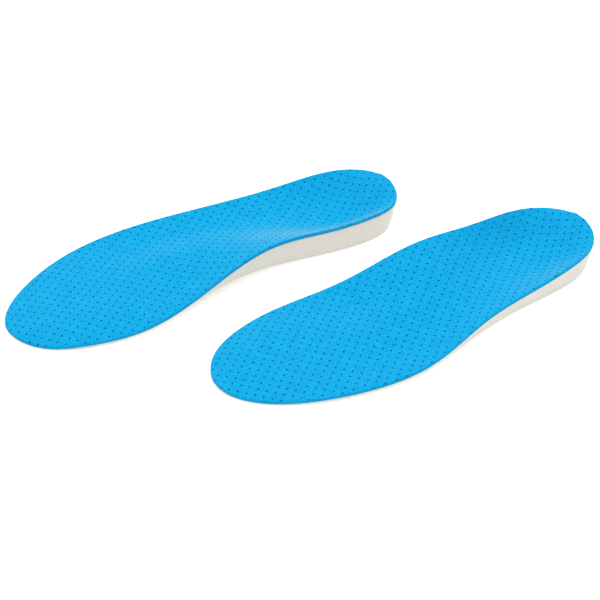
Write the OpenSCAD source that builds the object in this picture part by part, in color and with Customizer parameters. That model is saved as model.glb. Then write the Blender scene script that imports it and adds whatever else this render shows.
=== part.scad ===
// Pair of cushioned insoles lying side by side, toes towards -Y.
// Each one is a moulded foam base with a heel cup and a raised arch. A thin cushion foam and
// a face cloth cover its top, and a softer pad is let into the base under the heel and the ball.
// Every layer is cut across at the ball line, where the forefoot bends up.

/* [Overall] */
// Length of one insole, heel to toe
insole_len = 275; // [240:1:310]
// Scale of every width; the ball of the foot comes out about this wide
ball_w = 97; // [85:1:108]
// Height of the rim at the back of the heel; the footbed's other heights follow it
heel_rim_h = 23.5; // [21:0.5:28]
// Distance from the right insole's heel to the left one's, across the pair
pair_dx = 106; // [106:1:160]
// How far the left insole lies behind the right one
pair_dy = 76; // [0:1:120]

/* [Layers] */
// Thickness of the perforated face cloth
cloth_t = 0.6; // [0.4:0.1:0.8]
// Thickness of the cushion foam under the cloth
foam_t = 1.8; // [1:0.1:1.8]

/* [Pads] */
// Radius of the round heel pad
heel_pad_r = 21; // [15:0.5:22]
// Distance of the heel pad's centre from the heel
heel_pad_y = 40; // [36:1:44]
// Height of the heel pad's underside above the sole
heel_pad_z = 2.5; // [1.5:0.5:3]
// End radius of the ball pad
ball_pad_r = 16; // [12:0.5:17]
// Length of the ball pad's straight part, across the foot
ball_pad_w = 42; // [30:1:44]
// Distance of the ball pad's centre from the heel
ball_pad_y = 212; // [210:1:216]
// Height of the ball pad's underside above the sole
ball_pad_z = 2; // [1.5:0.5:2.5]

/* [Toe bend] */
// Distance of the bend line from the heel
bend_y = 188; // [184:1:190]
// Gap between the rear and the front piece of each layer
bend_gap = 0.4; // [0.3:0.1:1]

/* [Detail] */
// Rings along the rear piece
rear_rings = 22; // [12:1:26]
// Rings along the front piece
front_rings = 13; // [8:1:16]
// Facets across the foot
cols = 12; // [8:2:14]

/* [Hidden] */

// A station is an angle: 0 at the heel, 180 at the toe. Each list below holds the control
// values of a smooth curve at ten stations, 20 degrees apart, from the heel to the toe.
step = 20;
first_station = 1.5;

// Half widths as shares of ball_w, away from the big toe's side and towards it
outer_w = [0.845, 0.68, 0.53, 0.44, 0.45, 0.61, 0.64, 0.625, 0.6, 0.535];
inner_w = [0.84, 0.67, 0.495, 0.365, 0.315, 0.365, 0.53, 0.58, 0.665, 0.535];
// Sideways drift of the centre line between the heel and the toe
toe_shift = 4;

// Heights of the footbed along five lines, from the arch side to the outer side
bed_h = [
    [23.5, 20, 22, 21.5, 29, 10.5, 5, 5, 2.5, 4.5],
    [23.5, 23.5, 5, 10, 25.5, 5, 9.5, 7.5, 4, 4.5],
    [23.5, 22, 7, 9, 14.5, 14, 6, 6.5, 4, 4.5],
    [23.5, 23, 7, 10.5, 12, 4, 7.5, 5.5, 4, 4.5],
    [23.5, 20.5, 19.5, 15.5, 15, 7.5, 6.5, 4, 3, 4.5]
];
bed_scale = heel_rim_h / 23.5;

// How far the sole's edge lies inside the rim, on either side
outer_in = [6, 6, 5, 6.5, 5, 5.5, 4.5, 1, 0.5, 0.5];
inner_in = [4.5, 4.5, 5, 8, 16, 10.5, 4, 1, 0.5, 0.5];
heel_in = 4.5;
toe_in = 0.5;
// The base's flank from rim to sole: share of that distance, share of the height
flank = [[0.28, 0.55], [0.74, 0.13], [0.93, 0.02]];

cover_t = cloth_t + foam_t;
heel_pad_x = 3;
ball_pad_x = 9;
rear_end = acos(1 - 2 * (bend_y - bend_gap / 2) / insole_len);
front_start = acos(1 - 2 * (bend_y + bend_gap / 2) / insole_len);
last_station = 180 - first_station;
rear = [for (i = [0:rear_rings])
    first_station + (rear_end - first_station) * i / rear_rings];
front = [for (i = [0:front_rings])
    front_start + (last_station - front_start) * i / front_rings];

// Where each insole's heel lies; the pair is centred on the origin
half_spread = (insole_len + pair_dy) / 2;
right_at = [-pair_dx / 2, half_spread - pair_dy, 0];
left_at = [pair_dx / 2, half_spread, 0];

cream = [0.93, 0.91, 0.86];
blue = [0.12, 0.66, 0.92];
deep_blue = [0.05, 0.52, 0.8];
gel = [0.85, 0.8, 0.68];

// Cubic spline through a list of control values, straight at both ends
function knot(c, i) = i < 0 ? 2 * c[0] - c[1]
    : i >= len(c) ? 2 * c[len(c) - 1] - c[len(c) - 2]
    : c[i];
function spline(c, u) =
    let (i = min(floor(u), len(c) - 2), f = u - i, g = 1 - f)
    (g * g * g * knot(c, i - 1) + (3 * f * f * f - 6 * f * f + 4) * knot(c, i)
        + (3 * g * g * g - 6 * g * g + 4) * knot(c, i + 1) + f * f * f * knot(c, i + 2)) / 6;

// Outline and footbed at a station; t runs from -1 at the arch side to 1 at the outer side
function along(a) = insole_len / 2 * (1 - cos(a));
function centre(a) = toe_shift * (1 - cos(a)) / 2;
function outer_x(a, inset = 0) = centre(a) + sin(a) * (ball_w * spline(outer_w, a / step) - inset);
function inner_x(a, inset = 0) = centre(a) - sin(a) * (ball_w * spline(inner_w, a / step) - inset);
function across(a, t) = (inner_x(a) * (1 - t) + outer_x(a) * (1 + t)) / 2;
function bed(a, t) =
    bed_scale * spline([for (line = bed_h) spline(line, a / step)], (t + 1) * (len(bed_h) - 1) / 2);
function bed_point(a, t, drop) = [across(a, t), -along(a), bed(a, t) - drop];

// The sole's rings are drawn in towards the bend line, so that its ends lie inside the rim
function sole_y(a) =
    let (y = along(a), cut = bend_y + sign(y - bend_y) * bend_gap / 2)
    y < bend_y ? cut - (cut - y) * (cut - heel_in) / cut
        : cut + (y - cut) * (insole_len - toe_in - cut) / (insole_len - cut);
function sole_point(a, t) =
    let (near = inner_x(a, spline(inner_in, a / step)), far = outer_x(a, spline(outer_in, a / step)))
    [(near * (1 - t) + far * (1 + t)) / 2, -sole_y(a), 0];
function flank_point(a, t, share) =
    let (top = bed_point(a, t, cover_t), low = sole_point(a, t))
    [top.x + (low.x - top.x) * share.x, top.y + (low.y - top.y) * share.x, top.z * share.y];

function sides() = [for (k = [0:cols]) 2 * k / cols - 1];
function flipped(list) = [for (k = [len(list) - 1:-1:0]) list[k]];

// One ring of a sheet that lies between two depths under the footbed
function sheet_ring(a, drop, low) = concat(
    [for (t = sides()) bed_point(a, t, drop)],
    [for (t = flipped(sides())) bed_point(a, t, low)]
);

// One ring of the base: its top, outer flank, sole and arch flank
function base_ring(a) = concat(
    [for (t = sides()) bed_point(a, t, cover_t)],
    [for (share = flank) flank_point(a, 1, share)],
    [for (t = flipped(sides())) sole_point(a, t)],
    [for (share = flipped(flank)) flank_point(a, -1, share)]
);

// Skins a row of equal rings and closes both ends; side counts the points on each flank
module loft(rings, side) {
    n = len(rings[0]);
    last = (len(rings) - 1) * n;
    under = 2 * cols + side + 1;
    skin = [for (i = [0:n:last - 1], k = [0:n - 1])
        let (p = i + k, q = i + (k + 1) % n)
        each k < cols ? [[p, q, q + n], [p, q + n, p + n]] : [[p, q, p + n], [q, q + n, p + n]]];
    strips = [for (k = [1:cols - 2])
        each [[k, k + 1, under - k], [k + 1, under - k - 1, under - k]]];
    outer_end = [for (k = [cols - 1:cols + side]) [cols + side + 2, k, k + 1]];
    arch_end = [for (k = [under:n]) [under - 1, k % n, (k + 1) % n]];
    cap = concat(strips, outer_end, arch_end);
    polyhedron(
        points = [for (ring = rings) each ring],
        faces = concat(skin, [for (face = cap) flipped(face)], [for (face = cap) [for (v = face) v + last]]),
        convexity = 6
    );
}

module sheet(stations, drop, low) {
    loft([for (a = stations) sheet_ring(a, drop, low)], 0);
}

module base_blank(stations) {
    loft([for (a = stations) base_ring(a)], len(flank));
}

// The pads' outlines, standing from their undersides up through the base's top
module heel_plug() {
    translate([heel_pad_x, -heel_pad_y, heel_pad_z]) cylinder(r = heel_pad_r, h = heel_rim_h, $fn = 64);
}

module ball_plug() {
    translate([ball_pad_x, -ball_pad_y, ball_pad_z]) {
        for (side = [-1, 1])
            translate([side * ball_pad_w / 2, 0, 0]) cylinder(r = ball_pad_r, h = heel_rim_h, $fn = 64);
        translate([-ball_pad_w / 2, -ball_pad_r, 0]) cube([ball_pad_w, 2 * ball_pad_r, heel_rim_h]);
    }
}

module base_rear() {
    color(cream) difference() {
        base_blank(rear);
        heel_plug();
    }
}

module base_front() {
    color(cream) difference() {
        base_blank(front);
        ball_plug();
    }
}

module heel_pad() {
    color(gel) intersection() {
        base_blank(rear);
        heel_plug();
    }
}

module ball_pad() {
    color(gel) intersection() {
        base_blank(front);
        ball_plug();
    }
}

module foam(stations) {
    color(deep_blue) sheet(stations, cloth_t, cover_t);
}

module cloth(stations) {
    color(blue) sheet(stations, 0, cloth_t);
}

module right_foot() {
    translate(right_at) mirror([1, 0, 0]) children();
}

module left_foot() {
    translate(left_at) children();
}

right_foot() base_rear();  // right_base_rear
right_foot() base_front();  // right_base_front
right_foot() heel_pad();  // right_heel_pad
right_foot() ball_pad();  // right_ball_pad
right_foot() foam(rear);  // right_foam_rear
right_foot() foam(front);  // right_foam_front
right_foot() cloth(rear);  // right_cloth_rear
right_foot() cloth(front);  // right_cloth_front
left_foot() base_rear();  // left_base_rear
left_foot() base_front();  // left_base_front
left_foot() heel_pad();  // left_heel_pad
left_foot() ball_pad();  // left_ball_pad
left_foot() foam(rear);  // left_foam_rear
left_foot() foam(front);  // left_foam_front
left_foot() cloth(rear);  // left_cloth_rear
left_foot() cloth(front);  // left_cloth_front
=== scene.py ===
import math
import bpy
import numpy as np
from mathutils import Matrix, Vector


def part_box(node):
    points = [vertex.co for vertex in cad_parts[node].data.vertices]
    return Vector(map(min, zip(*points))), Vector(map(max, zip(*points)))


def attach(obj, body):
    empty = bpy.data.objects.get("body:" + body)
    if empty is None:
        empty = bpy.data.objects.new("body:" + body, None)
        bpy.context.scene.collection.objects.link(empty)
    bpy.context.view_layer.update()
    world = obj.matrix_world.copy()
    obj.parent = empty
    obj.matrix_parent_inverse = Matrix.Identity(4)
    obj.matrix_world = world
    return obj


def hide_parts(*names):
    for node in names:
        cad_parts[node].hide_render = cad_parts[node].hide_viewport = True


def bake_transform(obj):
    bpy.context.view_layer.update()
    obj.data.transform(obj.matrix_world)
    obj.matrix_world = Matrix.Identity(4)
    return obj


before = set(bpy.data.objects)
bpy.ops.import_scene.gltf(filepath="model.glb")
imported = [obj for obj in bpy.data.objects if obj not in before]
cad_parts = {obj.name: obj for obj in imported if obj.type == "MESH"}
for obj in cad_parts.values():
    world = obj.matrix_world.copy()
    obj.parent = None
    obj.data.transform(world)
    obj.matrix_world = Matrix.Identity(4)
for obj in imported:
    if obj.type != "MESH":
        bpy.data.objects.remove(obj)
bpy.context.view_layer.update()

mm = 0.001
sides = {"right": -1, "left": 1}


# camera, floor and light

view = {
    "aim": (0.00605, -0.0083, 0.0),
    "azimuth": 55.45,
    "elevation": 34.44,
    "distance": 1.2356,
    "lens": 120,
    "roll": 0.91,
}

studio = {
    "floorSize": 30.0,
    "floorColor": (0.95, 0.95, 0.95, 1),
    "worldColor": (1, 1, 1, 1),
    "worldStrength": 0.75,
    "floorGlow": 0.32,
    "lamps": {  # place, size, watts
        "backLamp": ((-1.4, 0.97, 0.5), 0.8, 3),
        "keyLamp": ((-1.0, 0.7, 1.3), 1.0, 12),
        "fillLamp": ((1.3, -1.2, 1.0), 1.6, 7),
        "topLamp": ((0.2, 0.1, 1.9), 1.4, 12),
    },
}


def nothingSelected():
    if bpy.context.object and bpy.context.object.mode != "OBJECT":
        bpy.ops.object.mode_set(mode="OBJECT")
    bpy.ops.object.select_all(action="DESELECT")


def addCamera():
    turn, tip = math.radians(view["azimuth"]), math.radians(view["elevation"])
    back = Vector((math.sin(turn) * math.cos(tip), -math.cos(turn) * math.cos(tip), math.sin(tip)))
    bpy.ops.object.camera_add(location=Vector(view["aim"]) + back * view["distance"])
    cam = bpy.context.object
    cam.rotation_euler = (-back).to_track_quat("-Z", "Y").to_euler()
    cam.rotation_euler.rotate_axis("Z", math.radians(view["roll"]))
    cam.data.lens = view["lens"]
    cam.data.clip_start = 0.05
    bpy.context.scene.camera = cam


def addStudio():
    nothingSelected()
    bpy.ops.mesh.primitive_plane_add(size=studio["floorSize"], location=(0, 0, -0.0002))
    floor = bpy.context.object
    floor.name = "floor"
    paint = bpy.data.materials.new("floorPaint")
    paint.use_nodes = True
    shader = paint.node_tree.nodes["Principled BSDF"]
    shader.inputs["Base Color"].default_value = studio["floorColor"]
    shader.inputs["Roughness"].default_value = 0.9
    shader.inputs["Specular IOR Level"].default_value = 0.1
    shader.inputs["Emission Color"].default_value = studio["floorColor"]
    shader.inputs["Emission Strength"].default_value = studio["floorGlow"]
    floor.data.materials.append(paint)
    world = bpy.data.worlds.new("studio")
    world.use_nodes = True
    world.node_tree.nodes["Background"].inputs["Color"].default_value = studio["worldColor"]
    world.node_tree.nodes["Background"].inputs["Strength"].default_value = studio["worldStrength"]
    bpy.context.scene.world = world
    for name, (place, size, watts) in studio["lamps"].items():
        bpy.ops.object.light_add(type="AREA", location=place)
        lamp = bpy.context.object
        lamp.name = name
        lamp.rotation_euler = (-Vector(place)).to_track_quat("-Z", "Y").to_euler()
        lamp.data.size = size
        lamp.data.energy = watts
    bpy.context.scene.view_settings.view_transform = "Standard"


nothingSelected()
addCamera()
addStudio()
print("camera, floor and lamps are in place")


# the shape of the footbed

# Stations are angles, 0 at the heel and 180 at the toe; each list has one value every 20 degrees.
footbed = {
    "length": 275 * mm,
    "width": 97 * mm,
    "spread": 106 * mm,  # between the two heels
    "step": 20,
    "toeShift": 4 * mm,
    "outer": [0.845, 0.68, 0.53, 0.44, 0.45, 0.61, 0.64, 0.625, 0.6, 0.535],
    "inner": [0.84, 0.67, 0.495, 0.365, 0.315, 0.365, 0.53, 0.58, 0.665, 0.535],
    "heights": [
        [23.5, 20, 22, 21.5, 29, 10.5, 5, 5, 2.5, 4.5],
        [23.5, 23.5, 5, 10, 25.5, 5, 9.5, 7.5, 4, 4.5],
        [23.5, 22, 7, 9, 14.5, 14, 6, 6.5, 4, 4.5],
        [23.5, 23, 7, 10.5, 12, 4, 7.5, 5.5, 4, 4.5],
        [23.5, 20.5, 19.5, 15.5, 15, 7.5, 6.5, 4, 3, 4.5],
    ],
    "outerIn": [6, 6, 5, 6.5, 5, 5.5, 4.5, 1, 0.5, 0.5],
    "innerIn": [4.5, 4.5, 5, 8, 16, 10.5, 4, 1, 0.5, 0.5],
    "heelIn": 4.5 * mm,
    "toeIn": 0.5 * mm,
    "bend": 188 * mm,
    "clothThick": 0.6 * mm,
    "foamThick": 1.8 * mm,
}
coverThick = footbed["clothThick"] + footbed["foamThick"]


def spline(values, u):
    # cubic spline, straight at both ends; values may hold one column for each point of u
    values = np.asarray(values, float)
    ends = (2 * values[:1] - values[1:2], 2 * values[-1:] - values[-2:-1])
    knots = np.concatenate([ends[0], values, ends[1]])
    i = np.clip(np.floor(u).astype(int), 0, len(values) - 2)
    f = u - i
    g = 1 - f
    shares = (g**3, 3 * f**3 - 6 * f**2 + 4, 3 * g**3 - 6 * g**2 + 4, f**3)
    own = () if knots.ndim == 1 else (np.arange(len(f)),)
    return sum(share * knots[(i + k, *own)] for k, share in enumerate(shares)) / 6


def edgeX(angle, side, inset=0.0):
    # side is 1 for the outer edge and -1 for the arch edge
    wide = footbed["outer"] if side > 0 else footbed["inner"]
    turn = np.radians(angle)
    middle = footbed["toeShift"] * (1 - np.cos(turn)) / 2
    return middle + side * np.sin(turn) * (footbed["width"] * spline(wide, angle / footbed["step"]) - inset)


def along(angle):
    return footbed["length"] / 2 * (1 - np.cos(np.radians(angle)))


def bedHeight(angle, t):
    lines = np.array([spline(line, angle / footbed["step"]) for line in footbed["heights"]])
    return spline(lines, (t + 1) * (len(lines) - 1) / 2) * mm


def heightAt(x, y):
    angle = np.degrees(np.arccos(np.clip(1 - 2 * y / footbed["length"], -1, 1)))
    low, high = edgeX(angle, -1), edgeX(angle, 1)
    t = 2 * (x - low) / np.maximum(high - low, 0.1 * mm) - 1
    return bedHeight(angle, np.clip(t, -1, 1))


def soleY(y):
    bend, end = footbed["bend"], footbed["length"]
    behind = bend - (bend - y) * (bend - footbed["heelIn"]) / bend
    ahead = bend + (y - bend) * (end - footbed["toeIn"] - bend) / (end - bend)
    return np.where(y < bend, behind, ahead)


def soleX(angle, side):
    inset = spline(footbed["outerIn" if side > 0 else "innerIn"], angle / footbed["step"]) * mm
    return edgeX(angle, side, inset)


# the flat cut of the cover

# Distances measured along the moulded surface, from the heel and from the heel's centre line,
# turn the moulded cover back into the flat sheet that it was cut from.
gridX = np.arange(-62, 78) * mm
gridY = np.arange(-3, 279) * mm
bedGrid = np.array([heightAt(np.full(len(gridY), x), gridY) for x in gridX])
acrossSteps = np.hypot(np.diff(bedGrid, axis=0), mm)
flatX = np.concatenate([np.zeros((1, len(gridY))), np.cumsum(acrossSteps, axis=0)])
heelLine = int(np.argmin(abs(gridX)))
flatX -= flatX[heelLine]
flatY = np.concatenate([[0], np.cumsum(np.hypot(np.diff(bedGrid[heelLine]), mm))])
flatY -= np.interp(0, gridY, flatY)
flatLength = np.interp(footbed["length"], gridY, flatY)
flatWide = np.arange(-90, 100) * mm
backX = np.array([np.interp(flatWide, flatX[:, j], gridX) for j in range(len(gridY))]).T


def sample(table, x0, x, y):
    # bilinear reading of a table whose cells are one millimetre square
    i = np.clip((x - x0) / mm, 0, table.shape[0] - 1.001)
    j = np.clip((y - gridY[0]) / mm, 0, table.shape[1] - 1.001)
    a, b = i.astype(int), j.astype(int)
    i, j = i - a, j - b
    near = table[a, b] * (1 - i) + table[a + 1, b] * i
    far = table[a, b + 1] * (1 - i) + table[a + 1, b + 1] * i
    return near * (1 - j) + far * j


def toFlat(x, y):
    return sample(flatX, gridX[0], x, y), np.interp(y, gridY, flatY)


def toMould(u, v):
    y = np.interp(v, flatY, gridY)
    return sample(backX, flatWide[0], u, y), y


def points(obj):
    co = np.empty(len(obj.data.vertices) * 3)
    obj.data.vertices.foreach_get("co", co)
    return co.reshape(-1, 3)


def setPoints(obj, co):
    obj.data.vertices.foreach_set("co", np.ascontiguousarray(co, dtype=float).ravel())
    obj.data.update()


def placeOf(name):
    # the heel's place in the frame, from the CAD: the pair's spread and the rear piece's end
    return Vector((sides[name] * footbed["spread"] / 2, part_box(name + "_cloth_rear")[1].y, 0))


def intoPlace(obj, name, x, y, z):
    heel = placeOf(name)
    setPoints(obj, np.stack([heel.x + sides[name] * x, heel.y - y, z], axis=1))


def apply(obj, kind, **settings):
    modifier = obj.modifiers.new(kind.lower(), kind)
    for key, value in settings.items():
        setattr(modifier, key, value)
    nothingSelected()
    bpy.context.view_layer.objects.active = obj
    obj.select_set(True)
    bpy.ops.object.modifier_apply(modifier=modifier.name)


def editing(obj):
    nothingSelected()
    bpy.context.view_layer.objects.active = obj
    obj.select_set(True)
    bpy.ops.object.mode_set(mode="EDIT")


def facesOut(obj):
    editing(obj)
    bpy.ops.mesh.select_all(action="SELECT")
    bpy.ops.mesh.normals_make_consistent(inside=False)
    bpy.ops.object.mode_set(mode="OBJECT")


def cutWith(obj, tool, operation):
    apply(obj, "BOOLEAN", operation=operation, object=tool, solver="MANIFOLD")


def removed(obj):
    bpy.data.objects.remove(obj)


# the perforated cover: cloth and cushion foam

cover = {
    "pitch": 5.27 * mm,
    "holeRadius": 0.52 * mm,
    "lipRadius": 1.1 * mm,
    "holeSides": 12,
    "holeStray": 0.1 * mm,
    "palest": 0.45,
    "turn": {"right": 34.1, "left": 37.9},
    "start": {"right": (0.16, -2.35), "left": (0.91, 2.81)},
    "overhang": 0.5 * mm,
    "edgeRadius": 0.5 * mm,
    "underRadius": 0.3 * mm,
    "edgeSteps": 5,
    "outlineStations": 180,
    # the block of cells that is laid over the insole, and what is kept of it
    "blockSize": 300 * mm,
    "blockShift": 5 * mm,
    "reach": 75 * mm,
    "spare": 8 * mm,
    "dieAbove": 0.5 * mm,
    "dieBelow": 0.5 * mm,
}

smoothAngle = math.radians(40)
mapOrigin = [0.5, 1.02]  # keeps both maps' coordinates positive


def oneCell():
    # a square of sheet round one hole: the hole, its lip and the square, out from the middle
    half = cover["pitch"] / 2
    nothingSelected()
    bpy.ops.mesh.primitive_circle_add(
        vertices=cover["holeSides"], radius=cover["holeRadius"], rotation=(0, 0, math.radians(15)))
    cell = bpy.context.object
    bpy.ops.object.transform_apply(rotation=True)
    editing(cell)
    bpy.ops.mesh.select_all(action="SELECT")
    for size in (cover["lipRadius"] / cover["holeRadius"], half / cover["lipRadius"]):
        bpy.ops.mesh.extrude_edges_move()
        bpy.ops.transform.resize(value=(size, size, 1))
    bpy.ops.object.mode_set(mode="OBJECT")
    co = points(cell)
    away = np.hypot(co[:, 0], co[:, 1])
    edge = away > half * 0.98
    co[edge] *= (half / np.abs(co[edge, :2]).max(axis=1))[:, None]
    setPoints(cell, co)
    return cell


def lots(cells, draw):
    # two even random numbers for every cell of the lattice, the same ones every time
    table = np.random.default_rng(draw).random((200, 200, 2))
    cells = cells.astype(int) % 200
    return table[cells[:, 0], cells[:, 1]]


def strays(cells):
    # each hole strays a little from its place in the row
    return (lots(cells, 1) - 0.5) * 2 * cover["holeStray"]


def perforatedSheet(name, top, bottom):
    # cells in rows, turned on the roll, from height top down to bottom
    cell = oneCell()
    pitch, length = cover["pitch"], cover["blockSize"]
    count = int(length / pitch)
    for axis in (0, 1):
        step = [0, 0, 0]
        step[axis] = pitch
        apply(cell, "ARRAY", use_relative_offset=False, use_constant_offset=True, count=count,
              constant_offset_displace=step, use_merge_vertices=True, merge_threshold=0.01 * mm)
    co = points(cell) - [pitch * (count // 2), pitch * (count // 2), 0]
    turn = math.radians(cover["turn"][name])
    cos, sin = math.cos(turn), math.sin(turn)
    start = cover["start"][name]
    # whole pitches bring the block of cells over the insole
    middle = np.array([cover["blockShift"], -flatLength / 2]) - np.array(start) * mm
    i = round((cos * middle[0] + sin * middle[1]) / pitch)
    j = round((-sin * middle[0] + cos * middle[1]) / pitch)
    co[:, :2] += [i * pitch, j * pitch]
    near = np.round(co[:, :2] / pitch)
    hole = np.hypot(*(co[:, :2] - near * pitch).T) < cover["lipRadius"] * 1.05
    co[hole, :2] += strays(near[hole])
    x, y = co[:, 0], co[:, 1]
    u, v = cos * x - sin * y + start[0] * mm, sin * x + cos * y + start[1] * mm
    sheet = np.stack([u, v, co[:, 2]], axis=1)
    spare = cover["spare"]
    reach = (np.abs(u) < cover["reach"]) & (v < spare) & (v > -flatLength - spare)
    sheet[:, 2] += top
    setPoints(cell, sheet)
    # drop the cells that lie well outside the outline
    editing(cell)
    bpy.ops.mesh.select_mode(type="VERT")
    bpy.ops.mesh.select_all(action="DESELECT")
    bpy.ops.object.mode_set(mode="OBJECT")
    cell.data.vertices.foreach_set("select", ~reach)
    editing(cell)
    bpy.ops.mesh.delete(type="VERT")
    bpy.ops.object.mode_set(mode="OBJECT")
    facesUp = cell.data.polygons[0].normal.z > 0
    apply(cell, "SOLIDIFY", thickness=top - bottom, offset=-1 if facesUp else 1, use_even_offset=False)
    facesOut(cell)
    return cell


def flatOutline(name, inset):
    # the cover's outline laid flat and drawn in by inset, in the insole's own flat frame
    angles = np.linspace(0, 180, cover["outlineStations"])
    x = np.concatenate([edgeX(angles, 1), edgeX(angles[1:-1], -1)[::-1]])
    y = np.concatenate([along(angles), along(angles[1:-1])[::-1]])
    u, v = toFlat(x, y)
    line = np.stack([sides[name] * u, -v], axis=1)
    ahead, behind = np.roll(line, -1, axis=0), np.roll(line, 1, axis=0)
    way = ahead - behind
    way /= np.linalg.norm(way, axis=1)[:, None]
    inwards = np.stack([-way[:, 1], way[:, 0]], axis=1)
    if ((line.mean(axis=0) - line) * inwards).sum() < 0:
        inwards = -inwards
    return line + inwards * inset


def gridOf(place, name):
    # a grid primitive laid through the given rows of points
    rows, columns = place.shape[:2]
    nothingSelected()
    bpy.ops.mesh.primitive_grid_add(x_subdivisions=columns - 1, y_subdivisions=rows - 1, size=1)
    obj = bpy.context.object
    obj.name = name
    setPoints(obj, place.reshape(-1, 3))
    return obj


def closedLoft(rings, name):
    # rings of points skinned into a closed body
    rings = np.concatenate([rings, rings[:, :1]], axis=1)
    obj = gridOf(rings, name)
    editing(obj)
    bpy.ops.mesh.select_all(action="SELECT")
    bpy.ops.mesh.remove_doubles(threshold=0.005 * mm)
    bpy.ops.mesh.fill_holes(sides=0)
    bpy.ops.mesh.select_all(action="SELECT")
    bpy.ops.mesh.normals_make_consistent(inside=False)
    bpy.ops.object.mode_set(mode="OBJECT")
    return obj


def die(name, above):
    # the cutter: a rounded shoulder at the top, straight sides and a small round at the bottom
    shoulder, foot, steps = cover["edgeRadius"], cover["underRadius"], cover["edgeSteps"]
    lean = np.linspace(math.pi / 2, 0, steps + 1)
    heights = [above, *(shoulder * (np.sin(lean) - 1)), *(foot * (1 - np.sin(lean[::-1])) - coverThick)]
    insets = [shoulder, *(shoulder * (1 - np.cos(lean))), *(foot * (1 - np.cos(lean[::-1])))]
    heights.append(heights[-1] - cover["dieBelow"])
    insets.append(foot)
    rings = []
    for height, inset in zip(heights, insets):
        line = flatOutline(name, inset - cover["overhang"])
        rings.append(np.column_stack([line, np.full(len(line), height)]))
    return closedLoft(np.array(rings), name + "_die")


def poreShade(name, co):
    # painted shade for the holes: up to 1 at the rim of a hole and inside it, 0 from its lip outwards; some
    # holes are painted paler
    turn, pitch = math.radians(cover["turn"][name]), cover["pitch"]
    away = co[:, :2] - np.array(cover["start"][name]) * mm
    cos, sin = math.cos(turn), math.sin(turn)
    cell = np.stack([away @ [cos, sin], away @ [-sin, cos]], axis=1)
    near = np.round(cell / pitch)
    off = np.hypot(*(cell - near * pitch - strays(near)).T)
    depth = cover["palest"] + (1 - cover["palest"]) * lots(near, 2)[:, 0]
    return depth * np.clip((cover["lipRadius"] - off) / (cover["lipRadius"] - cover["holeRadius"]), 0, 1)


def makeCover(name, layer, top, bottom):
    piece = perforatedSheet(name, top, bottom)
    tool = die(name, cover["dieAbove"])
    cutWith(piece, tool, "INTERSECT")
    removed(tool)
    piece.name = name + "_" + layer
    co = points(piece)
    # the flat cut is kept as the piece's own map, so that the nap and the holes follow the cloth
    piece.data.uv_layers.new(name="flatCut")
    corners = np.empty(len(piece.data.loops), dtype=np.int32)
    piece.data.loops.foreach_get("vertex_index", corners)
    flat = co[corners, :2] / footbed["length"] + mapOrigin
    piece.data.uv_layers["flatCut"].data.foreach_set("uv", flat.ravel())
    # the mask of painted shade in and round each hole
    paintedHoleShade = piece.data.attributes.new("paintedHoleShade", "FLOAT", "POINT")
    paintedHoleShade.data.foreach_set("value", poreShade(name, co).astype(np.float32))
    x, y = toMould(sides[name] * co[:, 0], -co[:, 1])
    intoPlace(piece, name, x, y, heightAt(x, y) + co[:, 2])
    facesOut(piece)
    nothingSelected()
    piece.select_set(True)
    bpy.context.view_layer.objects.active = piece
    bpy.ops.object.shade_smooth_by_angle(angle=smoothAngle)
    return piece


# the moulded base and the pads in it

base = {
    "stations": 120,
    "columns": 24,
    "topRound": 0.3 * mm,
    "endRound": 1.5 * mm,  # the round runs out at the heel and the toe
    # from the rim down to the sole: share of the distance inwards, share of the height
    "flank": [(0.0, 0.97), (0.06, 0.88), (0.15, 0.72), (0.29, 0.52), (0.47, 0.32), (0.68, 0.15),
              (0.8, 0.08), (0.9, 0.03), (0.96, 0.007)],
}

pads = {
    "heelRadius": 21 * mm,
    "heelCentre": (3 * mm, 40 * mm),
    "heelFloor": 2.5 * mm,
    "ballRadius": 16 * mm,
    "ballStraight": 42 * mm,
    "ballCentre": (9 * mm, 212 * mm),
    "ballFloor": 2 * mm,
    "plugHeight": 20 * mm,
    "sides": 64,
}


def baseRings():
    angles = np.linspace(0, 180, base["stations"])
    t = np.linspace(-1, 1, base["columns"])
    a, across = np.meshgrid(angles, t, indexing="ij")
    y = along(angles)
    shoulder = np.minimum(base["topRound"], base["endRound"] * np.sin(np.radians(angles)))
    low, high = edgeX(angles, -1), edgeX(angles, 1)
    low, high = low + shoulder, high - shoulder
    topX = low[:, None] * (1 - across) / 2 + high[:, None] * (1 + across) / 2
    topZ = bedHeight(a.ravel(), across.ravel()).reshape(a.shape) - coverThick
    top = np.stack([topX, np.repeat(y[:, None], len(t), axis=1), topZ], axis=2)
    soleLow, soleHigh = soleX(angles, -1), soleX(angles, 1)
    soleAcross = soleLow[:, None] * (1 - across) / 2 + soleHigh[:, None] * (1 + across) / 2
    soleAlong = np.repeat(soleY(y)[:, None], len(t), axis=1)
    sole = np.stack([soleAcross, soleAlong, np.zeros(a.shape)], axis=2)

    def flank(side):
        rimZ = bedHeight(angles, np.full(len(angles), side)) - coverThick
        rim = np.stack([edgeX(angles, side), y, rimZ], axis=1)
        foot = np.stack([soleX(angles, side), soleY(y), np.zeros(len(angles))], axis=1)
        rows = []
        for inwards, up in base["flank"]:
            row = rim + (foot - rim) * inwards
            row[:, 2] = rim[:, 2] * up
            rows.append(row)
        return np.stack(rows, axis=1)

    return np.concatenate([top, flank(1), sole[:, ::-1], flank(-1)[:, ::-1]], axis=1)


def plug(name, radius, straight, centre, floor):
    # a round or long plug standing from floor up through the base's top
    heel = placeOf(name)
    x, y = heel.x + sides[name] * centre[0], heel.y - centre[1]
    height = pads["plugHeight"]
    nothingSelected()
    bpy.ops.mesh.primitive_cylinder_add(
        vertices=pads["sides"], radius=radius, depth=height, location=(x, y, floor + height / 2))
    tool = bpy.context.object
    bpy.ops.object.transform_apply(location=True)
    co = points(tool)
    co[:, 0] += np.where(co[:, 0] > x, straight / 2, -straight / 2)
    setPoints(tool, co)
    return tool


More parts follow.
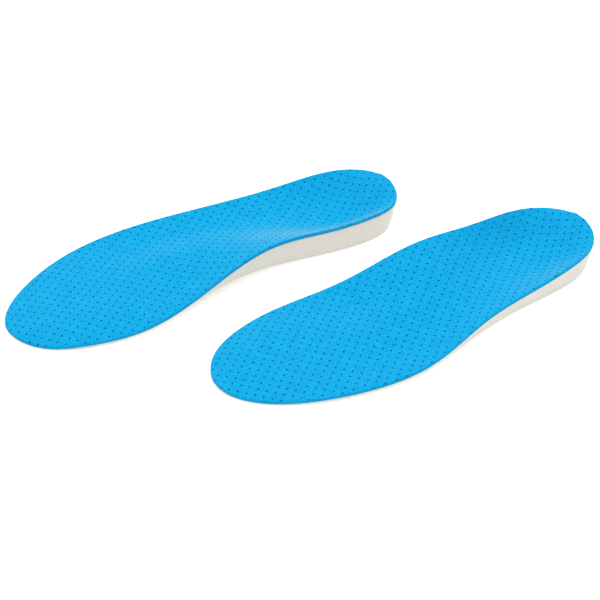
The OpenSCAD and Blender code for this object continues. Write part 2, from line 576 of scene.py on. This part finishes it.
def makeBase(name):
    rings = baseRings()
    body = closedLoft(rings, name + "_base")
    co = points(body)
    intoPlace(body, name, co[:, 0], co[:, 1], co[:, 2])
    facesOut(body)
    made = []
    plugs = {
        "heelCushion": (pads["heelRadius"], 0, pads["heelCentre"], pads["heelFloor"]),
        "ballCushion": (pads["ballRadius"], pads["ballStraight"], pads["ballCentre"], pads["ballFloor"]),
    }
    for padName, sizes in plugs.items():
        tool = plug(name, *sizes)
        nothingSelected()
        body.select_set(True)
        bpy.context.view_layer.objects.active = body
        bpy.ops.object.duplicate()
        pad = bpy.context.object
        pad.name = name + "_" + padName
        cutWith(pad, tool, "INTERSECT")
        cutWith(body, tool, "DIFFERENCE")
        removed(tool)
        made.append(pad)
    for piece in (body, *made):
        nothingSelected()
        piece.select_set(True)
        bpy.context.view_layer.objects.active = piece
        bpy.ops.object.shade_smooth_by_angle(angle=smoothAngle)
    return body, made


# materials

def newMaterial(name):
    paint = bpy.data.materials.new(name)
    paint.use_nodes = True
    nodes, links = paint.node_tree.nodes, paint.node_tree.links
    return paint, nodes, links, nodes["Principled BSDF"]


def noise(nodes, links, source, scale, detail, rough=0.6):
    node = nodes.new("ShaderNodeTexNoise")
    node.inputs["Scale"].default_value = scale
    node.inputs["Detail"].default_value = detail
    node.inputs["Roughness"].default_value = rough
    links.new(source, node.inputs["Vector"])
    return node


def ramp(nodes, links, source, stops):
    node = nodes.new("ShaderNodeValToRGB")
    links.new(source, node.inputs["Fac"])
    while len(node.color_ramp.elements) < len(stops):
        node.color_ramp.elements.new(0.5)
    for element, (place, color) in zip(node.color_ramp.elements, stops):
        element.position = place
        element.color = color
    return node


def bump(nodes, links, heights, strength, distance):
    node = nodes.new("ShaderNodeBump")
    node.inputs["Strength"].default_value = strength
    node.inputs["Distance"].default_value = distance
    links.new(heights, node.inputs["Height"])
    return node


def mixed(nodes, links, factor, a, b, kind="FLOAT"):
    # factor is a number or a socket; a and b are sockets or colours
    node = nodes.new("ShaderNodeMix")
    node.data_type = kind
    if isinstance(factor, float):
        node.inputs["Factor"].default_value = factor
    else:
        links.new(factor, node.inputs["Factor"])
    first, second = (6, 7) if kind == "RGBA" else (2, 3)
    for value, place in ((a, first), (b, second)):
        if isinstance(value, tuple):
            node.inputs[place].default_value = value
        else:
            links.new(value, node.inputs[place])
    return node.outputs[2 if kind == "RGBA" else 0]


def clothMaterial():
    paint, nodes, links, shader = newMaterial("brushedCloth")
    place = nodes.new("ShaderNodeUVMap")
    place.uv_map = "flatCut"
    fine = noise(nodes, links, place.outputs["UV"], 1100, 3, 0.7)
    tufts = noise(nodes, links, place.outputs["UV"], 420, 2)
    broad = noise(nodes, links, place.outputs["UV"], 35, 3)
    nap = mixed(nodes, links, 0.6, fine.outputs["Fac"], tufts.outputs["Fac"])
    tone = mixed(nodes, links, 0.08, nap, broad.outputs["Fac"])
    color = ramp(nodes, links, tone, [
        (0.42, (0.0, 0.22, 0.475, 1)), (0.5, (0.0, 0.33, 0.65, 1)), (0.59, (0.02, 0.47, 0.8, 1))])
    # painted shade: a darker blue mixed in at the rim and inside each hole, where the hole's shadow falls
    paintedHoleShade = nodes.new("ShaderNodeAttribute")
    paintedHoleShade.attribute_name = "paintedHoleShade"
    shaded = mixed(nodes, links, paintedHoleShade.outputs["Fac"], color.outputs["Color"], (0.0, 0.21, 0.52, 1), "RGBA")
    links.new(shaded, shader.inputs["Base Color"])
    shader.inputs["Roughness"].default_value = 0.95
    shader.inputs["Specular IOR Level"].default_value = 0.05
    # the sheen is turned off over the same mask that paints shade into and round the holes
    napped = nodes.new("ShaderNodeMapRange")
    napped.inputs["To Min"].default_value = 0.8
    napped.inputs["To Max"].default_value = 0.0
    links.new(paintedHoleShade.outputs["Fac"], napped.inputs["Value"])
    links.new(napped.outputs["Result"], shader.inputs["Sheen Weight"])
    shader.inputs["Sheen Roughness"].default_value = 0.25
    shader.inputs["Sheen Tint"].default_value = (0.65, 1, 0.9, 1)
    tuft = bump(nodes, links, nap, 0.8, 0.0003)
    links.new(tuft.outputs["Normal"], shader.inputs["Normal"])
    return paint


def foamMaterial():
    paint, nodes, links, shader = newMaterial("cushionFoam")
    place = nodes.new("ShaderNodeUVMap")
    place.uv_map = "flatCut"
    cells = noise(nodes, links, place.outputs["UV"], 1200, 3)
    color = ramp(nodes, links, cells.outputs["Fac"], [
        (0.35, (0.0, 0.23, 0.46, 1)), (0.65, (0.002, 0.305, 0.575, 1))])
    links.new(color.outputs["Color"], shader.inputs["Base Color"])
    shader.inputs["Roughness"].default_value = 0.85
    shader.inputs["Specular IOR Level"].default_value = 0.1
    grain = bump(nodes, links, cells.outputs["Fac"], 0.5, 0.0002)
    links.new(grain.outputs["Normal"], shader.inputs["Normal"])
    return paint


def baseMaterial():
    paint, nodes, links, shader = newMaterial("mouldedFoam")
    place = nodes.new("ShaderNodeUVMap")
    place.uv_map = "mould"
    grain = noise(nodes, links, place.outputs["UV"], 1500, 3)
    broad = noise(nodes, links, place.outputs["UV"], 25, 3)
    color = ramp(nodes, links, broad.outputs["Fac"], [
        (0.3, (0.61, 0.59, 0.53, 1)), (0.7, (0.635, 0.61, 0.555, 1))])
    links.new(color.outputs["Color"], shader.inputs["Base Color"])
    shader.inputs["Roughness"].default_value = 0.6
    shader.inputs["Specular IOR Level"].default_value = 0.3
    shader.inputs["Subsurface Weight"].default_value = 0.15
    shader.inputs["Subsurface Radius"].default_value = (0.003, 0.0025, 0.002)
    shader.inputs["Subsurface Scale"].default_value = 1.0
    skin = bump(nodes, links, grain.outputs["Fac"], 0.2, 0.0001)
    links.new(skin.outputs["Normal"], shader.inputs["Normal"])
    return paint


def padMaterial():
    paint, nodes, links, shader = newMaterial("padGel")
    place = nodes.new("ShaderNodeUVMap")
    place.uv_map = "mould"
    cloud = noise(nodes, links, place.outputs["UV"], 80, 3)
    color = ramp(nodes, links, cloud.outputs["Fac"], [
        (0.3, (0.66, 0.57, 0.38, 1)), (0.7, (0.74, 0.65, 0.46, 1))])
    links.new(color.outputs["Color"], shader.inputs["Base Color"])
    shader.inputs["Roughness"].default_value = 0.4
    skin = bump(nodes, links, cloud.outputs["Fac"], 0.1, 0.0002)
    links.new(skin.outputs["Normal"], shader.inputs["Normal"])
    return paint


def mouldMap(piece, name):
    # a map of the moulded block seen along its length and height, kept as the piece bends
    piece.data.uv_layers.new(name="mould")
    corners = np.empty(len(piece.data.loops), dtype=np.int32)
    piece.data.loops.foreach_get("vertex_index", corners)
    heel = placeOf(name)
    co = points(piece)[corners] - np.array(heel)
    slant = 0.37  # carries the grain on round the flank
    flat = np.stack([co[:, 0] + co[:, 2], co[:, 1] + slant * co[:, 2]], axis=1)
    flat = flat / footbed["length"] + mapOrigin
    piece.data.uv_layers["mould"].data.foreach_set("uv", flat.ravel())


# both insoles

finishes = {"cloth": clothMaterial(), "foam": foamMaterial(), "base": baseMaterial(), "pad": padMaterial()}


def finishPiece(piece, name, kind, nodes, crosses=True):
    piece.data.materials.clear()
    piece.data.materials.append(finishes[kind])
    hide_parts(*nodes)
    if crosses:
        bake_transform(piece)
    else:
        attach(piece, name + "_rear")


for name in sides:
    body, (heelPad, ballPad) = makeBase(name)
    foam = makeCover(name, "foam", -footbed["clothThick"], -coverThick)
    cloth = makeCover(name, "cloth", 0, -footbed["clothThick"])
    for piece in (body, heelPad, ballPad):
        mouldMap(piece, name)
    finishPiece(body, name, "base", [name + "_base_rear", name + "_base_front"])
    finishPiece(heelPad, name, "pad", [name + "_heel_pad"], crosses=False)
    finishPiece(ballPad, name, "pad", [name + "_ball_pad"])
    finishPiece(foam, name, "foam", [name + "_foam_rear", name + "_foam_front"])
    finishPiece(cloth, name, "cloth", [name + "_cloth_rear", name + "_cloth_front"])
    print(name, "insole:", {p.name: len(p.data.polygons) for p in (body, heelPad, ballPad, foam, cloth)})
